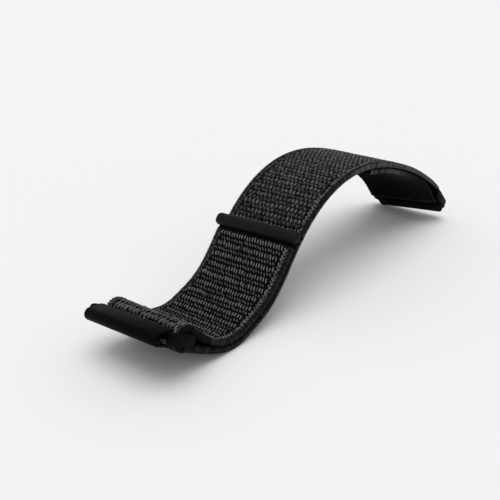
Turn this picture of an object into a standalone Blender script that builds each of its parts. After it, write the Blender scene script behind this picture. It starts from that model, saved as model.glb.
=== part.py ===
"""A woven hook-and-loop watch strap with a moulded connector at each end.

It lies on a floor in a loose S: the left end is up, the band dips to the floor, climbs over a
crest and comes down to the right connector. Both ends are rolled a little about the strap's run,
so that the right front bar touches the floor with its far corner. X runs along the strap, Y
across it, and the floor is at Z = 0.
"""

import bpy
import bmesh
import numpy as np
from math import atan2, cos, pi, radians, sin
from mathutils import Euler, Matrix, Vector

MM = 0.001

# Webbing, and the curve that it lies in
WEB_WIDTH = 21.9 * MM
WEB_THICKNESS = 1.4 * MM
WEB_EDGE_ROUND = 0.3 * MM
WEB_STATION_STEP = 2.3 * MM
WEB_COLUMNS = 4
BAR_SPAN = 109.6 * MM
CREST_HEIGHT = 29.0 * MM
LEFT_BAR_HEIGHT = 8.05 * MM
LEFT_LEAVES = radians(-24.0)
RIGHT_ARRIVES = radians(-36.5)
# Shares of the span between the bars, and of the rise of the middle of the webbing
ROUTE_SHARES = (
    (0.045, 0.090), (0.090, 0.026), (0.140, 0.001), (0.185, 0.051), (0.240, 0.153),
    (0.290, 0.337), (0.340, 0.580), (0.400, 0.792), (0.480, 0.946), (0.580, 1.000),
    (0.680, 0.951), (0.790, 0.817), (0.900, 0.604),
)

# Roll of both ends about the strap's run, far side down: full near the bars, then fading
LEFT_ROLL = radians(-4.0)
RIGHT_ROLL = radians(-6.5)
ROLL_HOLD = 3.0 * MM
LEFT_ROLL_ENDS_SHARE = 0.12
RIGHT_ROLL_ENDS_SHARE = 0.75

# Folds of the webbing round the rear bars
BAR_CLEARANCE = 0.3 * MM
FOLD_OPENING = radians(22.0)
FOLD_CLOSES_AFTER = 12.0 * MM
FOLD_STEPS = 14
TAIL_LENGTH = 47.0 * MM
TAIL_GAP = 0.2 * MM

# Flap, which folds back over the band and is held down by its hook patch
HINGE_GAP = 0.3 * MM
FLAP_GAP = 0.35 * MM
TAB_REACH = 45.4 * MM
HOOK_LENGTH = 15.0 * MM
HOOK_THICKNESS = 0.4 * MM
HOOK_WIDTH = 20.0 * MM
HOOK_CLEARANCE = 0.12 * MM
HOOK_TO_TAB = 1.0 * MM

# Pull tab on the flap's end
TAB_WIDTH = 24.0 * MM
TAB_LENGTH = 2.9 * MM
TAB_THICKNESS = 2.3 * MM
TAB_ROUND = 0.75 * MM
TAB_LIFT = 0.3 * MM
TAB_FACE_GAP = 0.25 * MM
TONGUE_LENGTH = 1.7 * MM
TONGUE_THICKNESS = 0.8 * MM
TONGUE_RISE = 0.2 * MM
TONGUE_CLEARANCE = 0.2 * MM

# Connectors: a front bar between two lugs, two arms, and a rear bar for the webbing
LEFT_PITCH = radians(152.5)
RIGHT_PITCH = radians(-47.0)
REAR_BAR_RADIUS = 1.1 * MM
FRONT_BAR_SHORTER = 0.9 * MM
FRONT_BAR_LENGTH = WEB_WIDTH - FRONT_BAR_SHORTER
FRONT_BAR_START = 3.6 * MM
NOSE_AHEAD = 7.1 * MM
NOSE_DROP = 0.6 * MM
NOSE_RADIUS = 1.4 * MM
SHOULDER_HEIGHT = 1.75 * MM
SHOULDER_LENGTH = 1.3 * MM
NOSE_ARC_END = radians(70.0)
FRONT_BAR_ROUND = 0.3 * MM
ARM_THICKNESS = 0.9 * MM
ARM_HEIGHT = 2.7 * MM
ARM_BEHIND = 1.6 * MM
ARM_AHEAD = 6.1 * MM
ARM_FRONT_ROUND = 0.9 * MM
ARM_CROWN = 0.35 * MM
ARM_CLEARANCE = 0.25 * MM
BRIDGE_LENGTH = 1.7 * MM
BRIDGE_INSET = 0.35 * MM
JOIN_DEPTH = 0.2 * MM

# Spring bars inside the front bars
SPRING_BAR_AHEAD = 6.5 * MM
SPRING_BAR_DROP = 0.55 * MM
TUBE_RADIUS = 0.9 * MM
TUBE_WALL = 0.2 * MM
TUBE_END_INSET = 0.5 * MM
TUBE_LIP = 0.5 * MM
BORE_CLEARANCE = 0.1 * MM
TIP_RADIUS = 0.42 * MM
TIP_CLEARANCE = 0.08 * MM
TIP_OUT = 1.2 * MM
TIP_CHAMFER = 0.15 * MM
FLANGE_RADIUS = 0.6 * MM
FLANGE_LENGTH = 1.4 * MM
SPRING_TURNS = 14
SPRING_POINTS_PER_TURN = 9
SPRING_WIRE_RADIUS = 0.11 * MM
SPRING_COIL_RADIUS = 0.45 * MM
SPRING_END_GAP = 0.08 * MM

CUT_OVERRUN = 0.5 * MM
ARC_STEPS = 10
ROUND_SIDES = 24
MERGE = 0.001 * MM


# Scene, materials and placing

def clear_scene():
    for old in list(bpy.data.objects):
        bpy.data.objects.remove(old, do_unlink=True)


def new_collection(name):
    group = bpy.data.collections.new(name)
    bpy.context.scene.collection.children.link(group)
    return group


def material(name, colour, roughness, metallic=0.0):
    made = bpy.data.materials.new(name)
    made.use_nodes = True
    shader = made.node_tree.nodes["Principled BSDF"]
    shader.inputs["Base Color"].default_value = (*colour, 1.0)
    shader.inputs["Roughness"].default_value = roughness
    shader.inputs["Metallic"].default_value = metallic
    return made


def add_empty(name, group, location, rotation=(0, 0, 0)):
    empty = bpy.data.objects.new(name, None)
    empty.location = location
    empty.rotation_euler = rotation
    empty.empty_display_size = REAR_BAR_RADIUS
    group.objects.link(empty)
    return empty


def add_object(name, mesh, group, finish=None):
    made = bpy.data.objects.new(name, mesh)
    group.objects.link(made)
    if finish:
        mesh.materials.clear()
        mesh.materials.append(finish)
    return made


def hang_on(child, parent, location=(0, 0, 0)):
    """Parent a piece to its joint's empty, placed in the empty's own directions."""
    child.parent = parent
    child.location = location


def shift_by(offset):
    return Matrix.Translation(offset)


def as_guide(made):
    made.hide_render = True
    made.display_type = "WIRE"
    return made


def smooth_round(mesh, angle=radians(35)):
    mesh.shade_smooth()
    mesh.set_sharp_from_angle(angle=angle)


def add_bevel(made, width, segments=2, limit=radians(50)):
    bevel = made.modifiers.new("rounded_edges", "BEVEL")
    bevel.width = width
    bevel.segments = segments
    bevel.limit_method = "ANGLE"
    bevel.angle_limit = limit


def add_boolean(made, other, operation):
    cut = made.modifiers.new(operation.lower() + "_" + other.name, "BOOLEAN")
    cut.operation = operation
    cut.object = other
    cut.solver = "EXACT"


def apply_modifiers(made):
    """Give an object the mesh that its modifiers make."""
    graph = bpy.context.evaluated_depsgraph_get()
    mesh = bpy.data.meshes.new_from_object(made.evaluated_get(graph), depsgraph=graph)
    mesh.name = made.name
    made.modifiers.clear()
    made.data = mesh


def combine(made, other, operation):
    """Cut a piece with a guide, or join the guide's shape to it."""
    add_boolean(made, other, operation)
    apply_modifiers(made)
    return made


def box(name, size, centre, group):
    shape = bmesh.new()
    bmesh.ops.create_cube(shape, size=1.0)
    bmesh.ops.scale(shape, vec=size, verts=shape.verts)
    bmesh.ops.translate(shape, vec=centre, verts=shape.verts)
    mesh = bpy.data.meshes.new(name)
    shape.to_mesh(mesh)
    shape.free()
    return finish_guide(add_object(name, mesh, group), group)


def finish_guide(made, group):
    return as_guide(made) if group.name == GUIDE_GROUP else made


def rod_across(name, radius, length, centre, group):
    """A round bar whose axis runs along Y."""
    shape = bmesh.new()
    bmesh.ops.create_cone(shape, cap_ends=True, segments=ROUND_SIDES,
                          radius1=radius, radius2=radius, depth=length)
    turn = shift_by(Vector(centre)) @ Matrix.Rotation(pi / 2, 4, "X")
    bmesh.ops.transform(shape, matrix=turn, verts=shape.verts)
    mesh = bpy.data.meshes.new(name)
    shape.to_mesh(mesh)
    shape.free()
    return finish_guide(add_object(name, mesh, group), group)


def plate_across(name, outline, width, y_middle, group):
    """A flat outline in X and Z, thickened along Y."""
    curve = bpy.data.curves.new(name, "CURVE")
    curve.dimensions = "2D"
    curve.fill_mode = "BOTH"
    curve.extrude = width / 2
    spline = curve.splines.new("POLY")
    spline.points.add(len(outline) - 1)
    for point, (x, z) in zip(spline.points, outline):
        point.co = (x, z, 0.0, 1.0)
    spline.use_cyclic_u = True
    drawn = bpy.data.objects.new(name + "_outline", curve)
    GUIDES.objects.link(drawn)
    graph = bpy.context.evaluated_depsgraph_get()
    mesh = bpy.data.meshes.new_from_object(drawn.evaluated_get(graph), depsgraph=graph)
    bpy.data.objects.remove(drawn, do_unlink=True)
    shape = bmesh.new()
    shape.from_mesh(mesh)
    bmesh.ops.remove_doubles(shape, verts=shape.verts, dist=MERGE)
    bmesh.ops.dissolve_limit(shape, angle_limit=radians(1), verts=shape.verts, edges=shape.edges)
    bmesh.ops.recalc_face_normals(shape, faces=shape.faces)
    turn = shift_by(Vector((0, y_middle, 0))) @ Matrix.Rotation(pi / 2, 4, "X")
    bmesh.ops.transform(shape, matrix=turn, verts=shape.verts)
    shape.to_mesh(mesh)
    shape.free()
    mesh.name = name
    return finish_guide(add_object(name, mesh, group), group)


# Curves in the plane of the strap's side, X along it and Z up

def unit(angle):
    return np.array((cos(angle), sin(angle)))


def left_of(direction):
    """Directions turned a quarter turn, from the webbing's run to its outer side."""
    return np.stack((-direction[..., 1], direction[..., 0]), axis=-1)


def lengths_along(points):
    steps = np.hypot(*np.diff(points, axis=0).T)
    return np.concatenate(((0.0,), np.cumsum(steps)))


def hermite(start, end, start_slope, end_slope, t):
    t = np.asarray(t)[:, None]
    return ((2 * t**3 - 3 * t**2 + 1) * start + (t**3 - 2 * t**2 + t) * start_slope
            + (3 * t**2 - 2 * t**3) * end + (t**3 - t**2) * end_slope)


def smooth_curve(knots, start_direction, end_direction, per_span=24):
    """A curve through the knots with steady bending, which leaves and arrives as told."""
    at = lengths_along(knots)
    gap = np.diff(at)
    slope = np.diff(knots, axis=0) / gap[:, None]
    count = len(knots)
    matrix = np.eye(count)
    right = np.zeros((count, 2))
    right[0] = start_direction
    right[-1] = end_direction
    for i in range(1, count - 1):
        matrix[i, i - 1:i + 2] = gap[i], 2 * (gap[i - 1] + gap[i]), gap[i - 1]
        right[i] = 3 * (gap[i] * slope[i - 1] + gap[i - 1] * slope[i])
    tangent = np.linalg.solve(matrix, right)
    t = np.linspace(0, 1, per_span, endpoint=False)
    pieces = [
        hermite(knots[i], knots[i + 1], tangent[i] * gap[i], tangent[i + 1] * gap[i], t)
        for i in range(count - 1)
    ]
    return np.concatenate(pieces + [knots[-1:]])


class Route:
    """A smooth line, read at a distance along it."""

    def __init__(self, points):
        self.points = np.asarray(points)
        self.at = lengths_along(self.points)
        self.length = self.at[-1]

    def place(self, distance):
        distance = np.asarray(distance, dtype=float)
        columns = [np.interp(distance, self.at, self.points[:, k]) for k in (0, 1)]
        return np.stack(columns, axis=-1)

    def heading(self, distance):
        reach = self.length / len(self.points)
        ahead = self.place(np.minimum(distance + reach, self.length))
        behind = self.place(np.maximum(distance - reach, 0.0))
        run = ahead - behind
        return run / np.hypot(run[..., 0], run[..., 1])[..., None]

    def beside(self, distance, offset):
        distance = np.asarray(distance, dtype=float)
        offset = np.broadcast_to(offset, distance.shape)
        return self.place(distance) + left_of(self.heading(distance)) * offset[..., None]


def even_steps(start, end, step):
    return np.linspace(start, end, max(2, int(round(abs(end - start) / step)) + 1))


def arc(centre, radius, start, end, count):
    angles = np.linspace(start, end, count)
    return centre + radius * np.stack((np.cos(angles), np.sin(angles)), axis=-1)


def blend_curve(start, start_direction, end, end_direction, count):
    chord = np.hypot(*(end - start))
    t = np.linspace(0, 1, count)
    return hermite(start, end, start_direction * chord, end_direction * chord, t)


# Where the bars and the webbing lie

FOLD_RADIUS = REAR_BAR_RADIUS + BAR_CLEARANCE + WEB_THICKNESS / 2


def to_world(bar, pitch, ahead, up, mirrored):
    """A point of a connector's side view, from distances ahead of and above its rear bar."""
    forward = unit(pitch)
    outward = left_of(forward) * (-1 if mirrored else 1)
    return bar + forward * ahead + outward * up


def right_bar_height():
    """The height at which the far corner of the rolled right front bar touches the floor."""
    centre = to_world(np.zeros(2), RIGHT_PITCH, NOSE_AHEAD, -NOSE_DROP, False)
    corner = FRONT_BAR_LENGTH / 2 - FRONT_BAR_ROUND
    return (NOSE_RADIUS - centre[1]) * cos(RIGHT_ROLL) - corner * sin(RIGHT_ROLL)


def bar_places():
    """Both rear bars, with X = 0 halfway between the tips of the two noses."""
    left = np.array((0.0, LEFT_BAR_HEIGHT))
    right = np.array((BAR_SPAN, right_bar_height()))
    left_nose = to_world(left, LEFT_PITCH, NOSE_AHEAD, -NOSE_DROP, True)[0] - NOSE_RADIUS
    right_nose = to_world(right, RIGHT_PITCH, NOSE_AHEAD, -NOSE_DROP, False)[0] + NOSE_RADIUS
    middle = np.array(((left_nose + right_nose) / 2, 0.0))
    return left - middle, right - middle


def main_route(left, right):
    start = left + FOLD_RADIUS * unit(LEFT_LEAVES - pi / 2)
    end = right + FOLD_RADIUS * unit(RIGHT_ARRIVES + pi / 2)
    low = WEB_THICKNESS / 2
    rise = CREST_HEIGHT - WEB_THICKNESS / 2 - low
    knots = [start]
    for along_share, rise_share in ROUTE_SHARES:
        x = left[0] + along_share * (right[0] - left[0])
        knots.append(np.array((x, low + rise_share * rise)))
    knots.append(end)
    return Route(smooth_curve(np.array(knots), unit(LEFT_LEAVES), unit(RIGHT_ARRIVES)))


def band_points(left, right, route):
    """The middle of the webbing: the left fold, the main layer, the right fold and the tail."""
    left_fold = arc(left, FOLD_RADIUS, LEFT_LEAVES + pi / 2 - FOLD_OPENING,
                    LEFT_LEAVES + 3 * pi / 2, FOLD_STEPS)
    main = route.place(even_steps(0.0, route.length, WEB_STATION_STEP))
    right_fold = arc(right, FOLD_RADIUS, RIGHT_ARRIVES + pi / 2,
                     RIGHT_ARRIVES - pi / 2 - FOLD_OPENING, FOLD_STEPS)
    under = -(WEB_THICKNESS + TAIL_GAP)
    meets = route.length - FOLD_CLOSES_AFTER
    closing = blend_curve(right_fold[-1], unit(RIGHT_ARRIVES - pi - FOLD_OPENING),
                          route.beside(meets, under), -route.heading(meets), FOLD_STEPS // 2)
    tail_end = route.length - TAIL_LENGTH
    tail = route.beside(even_steps(meets, tail_end, WEB_STATION_STEP), under)
    return np.concatenate((left_fold, main[1:], right_fold[1:], closing[1:], tail[1:]))


def flap_route(left, route, reach):
    """The middle of the flap at full thickness, from the fold over the bar to a reach along the band."""
    over = WEB_THICKNESS + FLAP_GAP
    fold_end = arc(left, FOLD_RADIUS, LEFT_LEAVES + pi / 2 - FOLD_OPENING, 0.0, 1)[0]
    closing = blend_curve(fold_end, unit(LEFT_LEAVES - FOLD_OPENING),
                          route.beside(FOLD_CLOSES_AFTER, over),
                          route.heading(FOLD_CLOSES_AFTER), FOLD_STEPS)
    rest = route.beside(even_steps(FOLD_CLOSES_AFTER, reach, WEB_STATION_STEP / 4), over)
    return Route(np.concatenate((closing, rest[1:])))


class Roll:
    """The roll of the strap's ends, which moves points of the level strap to where they lie."""

    def __init__(self, left, right, route):
        span = right[0] - left[0]
        self.left = left
        self.right = right
        self.line = route.points
        self.left_from = left[0] + ROLL_HOLD
        self.left_to = left[0] + LEFT_ROLL_ENDS_SHARE * span
        self.right_from = left[0] + RIGHT_ROLL_ENDS_SHARE * span
        self.right_to = right[0] - ROLL_HOLD

    def moved(self, points):
        x, y, z = np.asarray(points).T
        at_left = 1 - smooth_step((x - self.left_from) / (self.left_to - self.left_from))
        at_right = smooth_step((x - self.right_from) / (self.right_to - self.right_from))
        turn = LEFT_ROLL * at_left + RIGHT_ROLL * at_right
        middle = np.interp(x, self.line[:, 0], self.line[:, 1])
        axis = middle + (self.left[1] - middle) * at_left + (self.right[1] - middle) * at_right
        up = z - axis
        across = y * np.cos(turn) - up * np.sin(turn)
        return np.stack((x, across, axis + y * np.sin(turn) + up * np.cos(turn)), axis=-1)

    def bend(self, mesh):
        """Roll a mesh, with its faces cut to triangles so that each stays flat."""
        shape = bmesh.new()
        shape.from_mesh(mesh)
        bmesh.ops.triangulate(shape, faces=shape.faces)
        places = self.moved(np.array([vert.co for vert in shape.verts]))
        for vert, place in zip(shape.verts, places):
            vert.co = place
        shape.to_mesh(mesh)
        shape.free()


def smooth_step(t):
    t = np.clip(t, 0.0, 1.0)
    return t * t * (3 - 2 * t)


def hinge_place(left):
    return left + (FOLD_RADIUS + WEB_THICKNESS / 2) * unit(LEFT_LEAVES + pi / 2 - FOLD_OPENING)


# Webbing

def webbing(name, middles, width, thickness, group, finish):
    """A strip of webbing, from the line of its middle in the side view."""
    across = np.linspace(-width / 2, width / 2, WEB_COLUMNS + 1)
    verts = [(x, y, z) for x, z in middles for y in across]
    row = len(across)
    faces = [
        (start, start + 1, start + 1 + row, start + row)
        for first in range(0, len(verts) - row, row)
        for start in range(first, first + WEB_COLUMNS)
    ]
    mesh = bpy.data.meshes.new(name)
    mesh.from_pydata(verts, [], faces)
    made = add_object(name, mesh, group, finish)
    solid = made.modifiers.new("thickness", "SOLIDIFY")
    solid.thickness = thickness
    solid.offset = 0.0
    solid.use_even_offset = True
    return made


def build_band(left, right, route, roll, finish):
    points = band_points(left, right, route)
    band = webbing("strap_band", points, WEB_WIDTH, WEB_THICKNESS, PARTS, finish)
    add_bevel(band, WEB_EDGE_ROUND)
    apply_modifiers(band)
    roll.bend(band.data)
    smooth_round(band.data)


def layer_outline(line, start, end, low, high):
    """Side view of a layer that follows a line between two offsets from it."""
    at = even_steps(start, end, WEB_STATION_STEP)
    upper = line.beside(at, high)
    lower = line.beside(at[::-1], low)
    return [tuple(point) for point in (*upper, *lower)]


def build_flap(left, route, roll, finishes, hinge):
    """The flap, thinner over its hook patch and pressed to a tongue inside the tab."""
    line = flap_route(left, route, TAB_REACH + TAB_LENGTH)
    tab_at = flap_route(left, route, TAB_REACH).length
    half = WEB_THICKNESS / 2
    face = tab_at - TAB_LENGTH / 2
    hook_end = face - HOOK_TO_TAB
    hook_start = hook_end - HOOK_LENGTH
    recess = HOOK_THICKNESS + 2 * HOOK_CLEARANCE - FLAP_GAP

    at = even_steps(HINGE_GAP, face + TONGUE_LENGTH, WEB_STATION_STEP)
    flap = webbing("strap_flap", line.beside(at, 0.0), WEB_WIDTH, WEB_THICKNESS, PARTS,
                   finishes["webbing"])
    add_bevel(flap, WEB_EDGE_ROUND)
    apply_modifiers(flap)
    cut_width = WEB_WIDTH + 2 * CUT_OVERRUN
    over = half + CUT_OVERRUN
    tongue_low = TONGUE_RISE - TONGUE_THICKNESS / 2
    tongue_high = TONGUE_RISE + TONGUE_THICKNESS / 2
    tongue_from = face - TAB_FACE_GAP
    tongue_to = face + TONGUE_LENGTH + CUT_OVERRUN
    cuts = (
        ("hook_pocket", hook_start, hook_end, -over, recess - half),
        ("tongue_under", tongue_from, tongue_to, -over, tongue_low),
        ("tongue_over", tongue_from, tongue_to, tongue_high, over),
    )
    for name, start, end, low, high in cuts:
        outline = layer_outline(line, start, end, low, high)
        combine(flap, plate_across(name, outline, cut_width, 0.0, GUIDES), "DIFFERENCE")
    smooth_round(flap.data)

    hook_at = even_steps(hook_start + HOOK_CLEARANCE, hook_end - HOOK_CLEARANCE, WEB_STATION_STEP)
    hook_shift = HOOK_CLEARANCE + HOOK_THICKNESS / 2 - half - FLAP_GAP
    patch = webbing("hook_patch", line.beside(hook_at, hook_shift), HOOK_WIDTH, HOOK_THICKNESS,
                    PARTS, finishes["hook"])
    apply_modifiers(patch)
    tab = build_tab(line, tab_at, finishes["tab"])
    roll.bend(flap.data)
    from_hinge = (shift_by(hinge.location) @ hinge.rotation_euler.to_matrix().to_4x4()).inverted()
    for piece in (flap, patch, tab):
        piece.data.transform(from_hinge)
        hang_on(piece, hinge)


def build_tab(line, tab_at, finish):
    """A rounded bar across the flap's end, with a slot for the flap's tongue."""
    rise = TAB_LIFT + TAB_THICKNESS / 2 - FLAP_GAP - WEB_THICKNESS / 2
    middle = line.beside(tab_at, rise)
    run = line.heading(tab_at)
    place = shift_by((middle[0], 0, middle[1])) @ Matrix.Rotation(-atan2(run[1], run[0]), 4, "Y")
    tab = box("pull_tab", (TAB_LENGTH, TAB_WIDTH, TAB_THICKNESS), (0, 0, 0), PARTS)
    tab.data.materials.append(finish)
    add_bevel(tab, TAB_ROUND, segments=4)
    apply_modifiers(tab)
    depth = TONGUE_LENGTH + TONGUE_CLEARANCE + CUT_OVERRUN
    slot = box("tab_slot",
               (depth, WEB_WIDTH + 2 * TONGUE_CLEARANCE, TONGUE_THICKNESS + 2 * TONGUE_CLEARANCE),
               (depth / 2 - TAB_LENGTH / 2 - CUT_OVERRUN, 0, TONGUE_RISE - rise), GUIDES)
    combine(tab, slot, "DIFFERENCE")
    tab.data.transform(place)
    slot.data.transform(place)
    smooth_round(tab.data)
    return tab


# Connectors

def front_bar_outline():
    """Side view of the front bar: flat below, a round nose, and a ledge up to the shoulder."""
    bottom = -NOSE_DROP - NOSE_RADIUS
    centre = np.array((NOSE_AHEAD, -NOSE_DROP))
    nose = arc(centre, NOSE_RADIUS, -pi / 2, NOSE_ARC_END, ARC_STEPS)
    shoulder = FRONT_BAR_START + SHOULDER_LENGTH
    top = [(shoulder, SHOULDER_HEIGHT), (FRONT_BAR_START, SHOULDER_HEIGHT)]
    return [(FRONT_BAR_START, bottom), *map(tuple, nose), *top]


def arm_outline():
    """Side view of an arm: round behind, with two smaller corners in front."""
    half = ARM_HEIGHT / 2
    rear = arc(np.array((half - ARM_BEHIND, 0.0)), half, pi / 2, 3 * pi / 2, ARC_STEPS)
    corner = half - ARM_FRONT_ROUND
    ahead = ARM_AHEAD - ARM_FRONT_ROUND
    low = arc(np.array((ahead, -corner)), ARM_FRONT_ROUND, -pi / 2, 0.0, ARC_STEPS // 2)
    high = arc(np.array((ahead, corner)), ARM_FRONT_ROUND, 0.0, pi / 2, ARC_STEPS // 2)
    return [tuple(point) for part in (rear, low, high) for point in part]


def build_connector(side, pivot, finish):
    """One moulded frame: the front bar, its bridges to the arms, the arms and the rear bar."""
    name = side + "_connector"
    inner = WEB_WIDTH / 2 + ARM_CLEARANCE
    frame = plate_across(name, front_bar_outline(), FRONT_BAR_LENGTH, 0.0, PARTS)
    add_bevel(frame, FRONT_BAR_ROUND)
    apply_modifiers(frame)
    across = 2 * (inner + JOIN_DEPTH)
    bridge_height = ARM_HEIGHT - BRIDGE_INSET
    bridge_middle = (SHOULDER_HEIGHT - NOSE_DROP - NOSE_RADIUS) / 2
    bridge = box(name + "_bridge", (BRIDGE_LENGTH, across, bridge_height),
                 (FRONT_BAR_START + BRIDGE_INSET + BRIDGE_LENGTH / 2, 0, bridge_middle), GUIDES)
    combine(frame, bridge, "UNION")
    for end in (-1, 1):
        middle = end * (inner + ARM_THICKNESS / 2)
        arm = plate_across(name + "_arm", arm_outline(), ARM_THICKNESS, middle, GUIDES)
        add_bevel(arm, ARM_CROWN)
        apply_modifiers(arm)
        combine(frame, arm, "UNION")
    rear = rod_across(name + "_rear_bar", REAR_BAR_RADIUS, across, (0, 0, 0), GUIDES)
    combine(frame, rear, "UNION")
    bore = rod_across(name + "_bore", TUBE_RADIUS + BORE_CLEARANCE,
                      FRONT_BAR_LENGTH + 2 * CUT_OVERRUN, spring_bar_middle(), GUIDES)
    combine(frame, bore, "DIFFERENCE")
    frame.data.materials.clear()
    frame.data.materials.append(finish)
    smooth_round(frame.data)
    hang_on(frame, pivot)
    return frame


# Spring bars

def spring_bar_middle():
    return (SPRING_BAR_AHEAD, 0.0, -SPRING_BAR_DROP)


def turned(name, profile, group, finish):
    """A turned piece on the Y axis, from radii and distances along it, closed at both ends."""
    mesh = bpy.data.meshes.new(name)
    verts = [(radius, along, 0.0) for radius, along in profile]
    mesh.from_pydata(verts, [(i, i + 1) for i in range(len(verts) - 1)], [])
    made = add_object(name, mesh, group, finish)
    screw = made.modifiers.new("turned", "SCREW")
    screw.axis = "Y"
    screw.steps = ROUND_SIDES
    screw.render_steps = ROUND_SIDES
    screw.use_merge_vertices = True
    screw.merge_threshold = MERGE
    screw.use_normal_calculate = True
    apply_modifiers(made)
    shape = bmesh.new()
    shape.from_mesh(made.data)
    bmesh.ops.remove_doubles(shape, verts=shape.verts, dist=MERGE)
    bmesh.ops.recalc_face_normals(shape, faces=shape.faces)
    shape.to_mesh(made.data)
    shape.free()
    smooth_round(made.data)
    return made


def tube_profile():
    """Half of a section through the tube: a thin wall that closes to a lip at both ends."""
    end = FRONT_BAR_LENGTH / 2 - TUBE_END_INSET
    inner = TUBE_RADIUS - TUBE_WALL
    lip = TIP_RADIUS + TIP_CLEARANCE
    return [(TUBE_RADIUS, end), (TUBE_RADIUS, -end), (lip, -end), (lip, TUBE_LIP - end),
            (inner, TUBE_LIP - end), (inner, end - TUBE_LIP), (lip, end - TUBE_LIP),
            (lip, end), (TUBE_RADIUS, end)]


def tip_profile():
    """Half of a section through a tip, from its flange at the spring to its outer end."""
    flange_start = tip_flange_start()
    outer = FRONT_BAR_LENGTH / 2 + TIP_OUT
    return [(0.0, flange_start), (FLANGE_RADIUS, flange_start),
            (FLANGE_RADIUS, flange_start + FLANGE_LENGTH), (TIP_RADIUS, flange_start + FLANGE_LENGTH),
            (TIP_RADIUS, outer - TIP_CHAMFER), (TIP_RADIUS - TIP_CHAMFER, outer), (0.0, outer)]


def tip_flange_start():
    inside = FRONT_BAR_LENGTH / 2 - TUBE_END_INSET - TUBE_LIP
    return inside - TIP_CLEARANCE - FLANGE_LENGTH


def build_spring(name, finish, pivot):
    """A coil between the two flanges, drawn by its turns."""
    half = tip_flange_start() - SPRING_END_GAP - SPRING_WIRE_RADIUS
    points = spring_line(half)
    curve = bpy.data.curves.new(name, "CURVE")
    curve.dimensions = "3D"
    curve.bevel_depth = SPRING_WIRE_RADIUS
    curve.bevel_resolution = 1
    curve.use_fill_caps = True
    spline = curve.splines.new("POLY")
    spline.points.add(len(points) - 1)
    for point, place in zip(spline.points, points):
        point.co = (*place, 1.0)
    drawn = bpy.data.objects.new(name + "_line", curve)
    GUIDES.objects.link(drawn)
    graph = bpy.context.evaluated_depsgraph_get()
    mesh = bpy.data.meshes.new_from_object(drawn.evaluated_get(graph), depsgraph=graph)
    bpy.data.objects.remove(drawn, do_unlink=True)
    shape = bmesh.new()
    shape.from_mesh(mesh)
    bmesh.ops.remove_doubles(shape, verts=shape.verts, dist=MERGE)
    bmesh.ops.recalc_face_normals(shape, faces=shape.faces)
    shape.to_mesh(mesh)
    shape.free()
    mesh.name = name
    made = add_object(name, mesh, PARTS, finish)
    mesh.shade_smooth()
    hang_on(made, pivot, spring_bar_middle())
    return made


def spring_line(half):
    turns = np.linspace(0.0, SPRING_TURNS, SPRING_TURNS * SPRING_POINTS_PER_TURN + 1)
    angles = 2 * pi * turns
    along = -half + 2 * half * turns / SPRING_TURNS
    return np.stack((SPRING_COIL_RADIUS * np.cos(angles), along,
                     SPRING_COIL_RADIUS * np.sin(angles)), axis=-1)


def least_gap_to_itself(points, wire_radius):
    """The least gap between one turn of a coil and the next, measured on its points."""
    apart = SPRING_POINTS_PER_TURN // 2
    return min(
        float(np.linalg.norm(points[i + apart:] - points[i], axis=1).min())
        for i in range(len(points) - apart)
    ) - 2 * wire_radius


def build_spring_bar(side, pivot, finishes):
    tube = turned(side + "_spring_tube", tube_profile(), PARTS, finishes["steel"])
    hang_on(tube, pivot, spring_bar_middle())
    for end, label in ((-1, "near"), (1, "far")):
        tip = turned(f"{side}_{label}_tip", tip_profile(), PARTS, finishes["steel"])
        toward_far = end * (-1 if side == "left" else 1)
        if toward_far < 0:
            tip.data.transform(Matrix.Rotation(pi, 4, "Z"))
        hang_on(tip, pivot, spring_bar_middle())
    build_spring(side + "_spring", finishes["spring"], pivot)


# The whole strap

def rolled(turn, roll):
    """The turn of a level piece, then rolled about the strap's run."""
    level = Euler(turn).to_matrix()
    return (Matrix.Rotation(roll, 3, "X") @ level).to_euler()


def build():
    left, right = bar_places()
    route = main_route(left, right)
    roll = Roll(left, right, route)
    finishes = {
        "webbing": material("woven_black", (0.018, 0.018, 0.020), 0.85),
        "hook": material("hook_tape", (0.012, 0.012, 0.013), 0.7),
        "tab": material("tab_moulding", (0.030, 0.030, 0.032), 0.5),
        "connector": material("satin_moulding", (0.012, 0.012, 0.013), 0.4),
        "steel": material("pin_steel", (0.60, 0.60, 0.62), 0.25, 1.0),
        "spring": material("spring_wire", (0.45, 0.45, 0.46), 0.35, 1.0),
    }
    build_band(left, right, route, roll, finishes["webbing"])
    x, z = hinge_place(left)
    hinge_at = roll.moved([(x, 0.0, z)])[0]
    hinge = add_empty("flap_hinge", PARTS, hinge_at, rolled((0.0, 0.0, 0.0), LEFT_ROLL))
    build_flap(left, route, roll, finishes, hinge)
    left_turn = rolled((0.0, LEFT_PITCH - pi, pi), LEFT_ROLL)
    right_turn = rolled((0.0, -RIGHT_PITCH, 0.0), RIGHT_ROLL)
    left_pivot = add_empty("left_pivot", PARTS, (left[0], 0.0, left[1]), left_turn)
    right_pivot = add_empty("right_pivot", PARTS, (right[0], 0.0, right[1]), right_turn)
    for side, pivot in (("left", left_pivot), ("right", right_pivot)):
        build_connector(side, pivot, finishes["connector"])
        build_spring_bar(side, pivot, finishes)
    gap = least_gap_to_itself(spring_line(tip_flange_start()), SPRING_WIRE_RADIUS)
    print("least gap between the springs' turns, mm:", round(gap / MM, 3))


GUIDE_GROUP = "watch_strap_cutters"

clear_scene()
PARTS = new_collection("watch_strap")
GUIDES = new_collection(GUIDE_GROUP)
build()
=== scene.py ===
from collections import namedtuple
from math import atan2, cos, pi, radians, sin

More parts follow.
